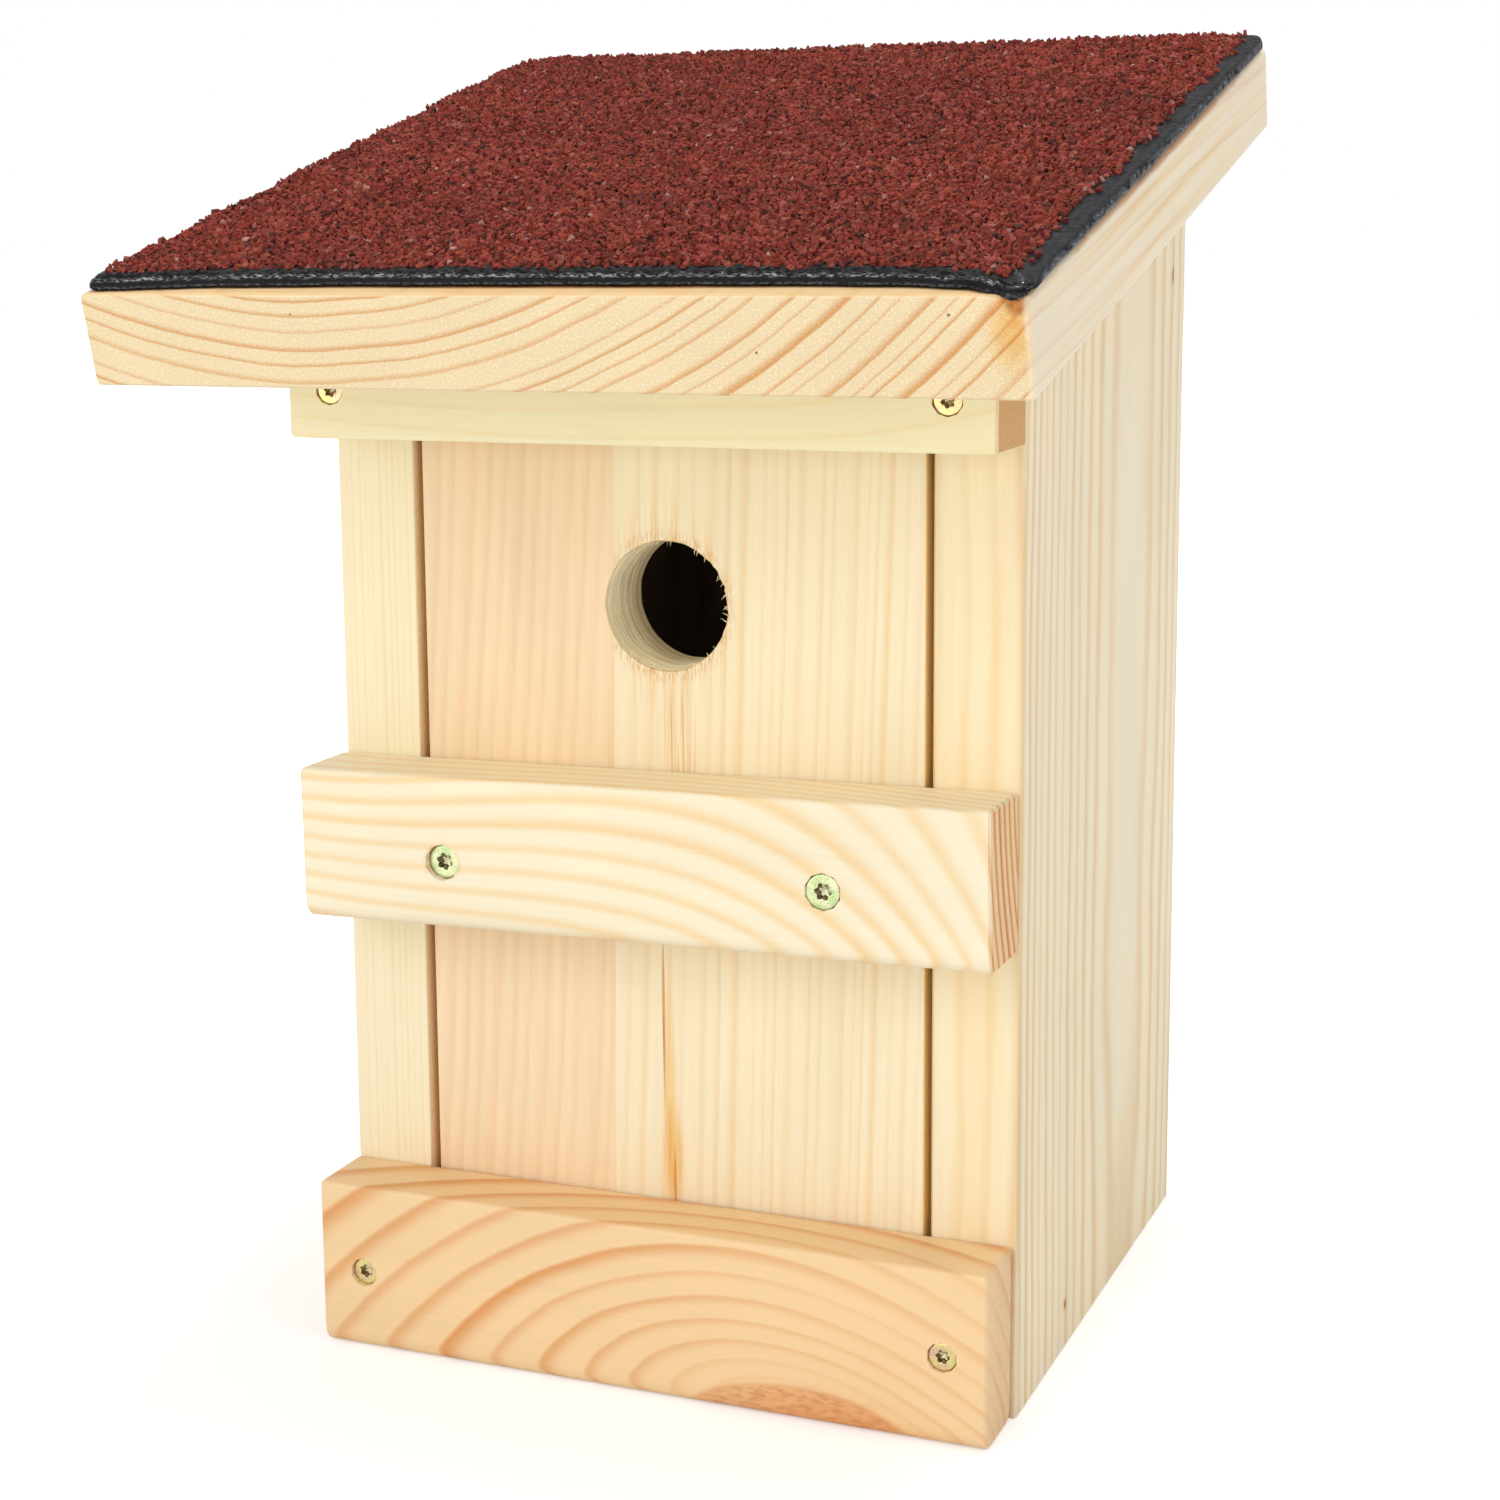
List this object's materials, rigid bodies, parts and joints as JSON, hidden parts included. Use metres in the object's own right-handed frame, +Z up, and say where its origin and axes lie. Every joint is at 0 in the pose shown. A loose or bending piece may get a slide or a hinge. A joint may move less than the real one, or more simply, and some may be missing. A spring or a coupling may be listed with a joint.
{
  "type": "bird nest box",
  "caption": "Wooden nest box with a sloping felted roof, a round entrance hole and a front door that lifts out from behind wooden bars.",
  "frame": {"origin": "on the surface that the box stands on, under the middle of the whole box, roof included", "axes": "+Z up, the door and the entrance hole face -Y, +X to the right of someone who looks at the door"},
  "size_m": [0.224, 0.2432, 0.3365],
  "materials": {
    "side_pine": "planed, unpainted",
    "roof_pine": "planed, unpainted",
    "bar_pine": "planed, unpainted",
    "foot_bar_pine": "planed, unpainted",
    "door_pine": "planed, unpainted",
    "bitumen": "glossy black where it melted, matte at its cut edges",
    "red_granules": "rough red-brown mineral granules",
    "zinc_steel": "yellow zinc plated",
    "brad_steel": "bright steel"
  },
  "bodies": {
    "box": {"left_side_panel": "side_pine", "right_side_panel": "side_pine", "back_panel": "side_pine", "floor_panel": "side_pine", "roof_board": "roof_pine", "roof_felt": "bitumen", "roof_granules": "red_granules", "top_bar": "bar_pine", "bottom_bar": "foot_bar_pine", "top_bar_screw_left": "zinc_steel", "top_bar_screw_right": "zinc_steel", "bottom_bar_screw_left": "zinc_steel", "bottom_bar_screw_right": "zinc_steel", "floor_brad_front_left": "brad_steel", "floor_brad_front_right": "brad_steel", "floor_brad_rear_left": "brad_steel", "floor_brad_rear_right": "brad_steel", "back_brad_low_left": "brad_steel", "back_brad_low_right": "brad_steel", "back_brad_high_left": "brad_steel", "back_brad_high_right": "brad_steel", "roof_brad_front_left": "brad_steel", "roof_brad_front_right": "brad_steel", "roof_brad_rear_left": "brad_steel", "roof_brad_rear_right": "brad_steel"},
    "door": {"door_panel": "door_pine", "grip_bar": "bar_pine", "grip_screw_left": "zinc_steel", "grip_screw_right": "zinc_steel"}
  },
  "joints": [
    {"name": "door_lift", "type": "slide", "parent": "box", "child": "door", "axis": [0, 0, 1], "range_m": [0, 0.0229]}
  ]
}
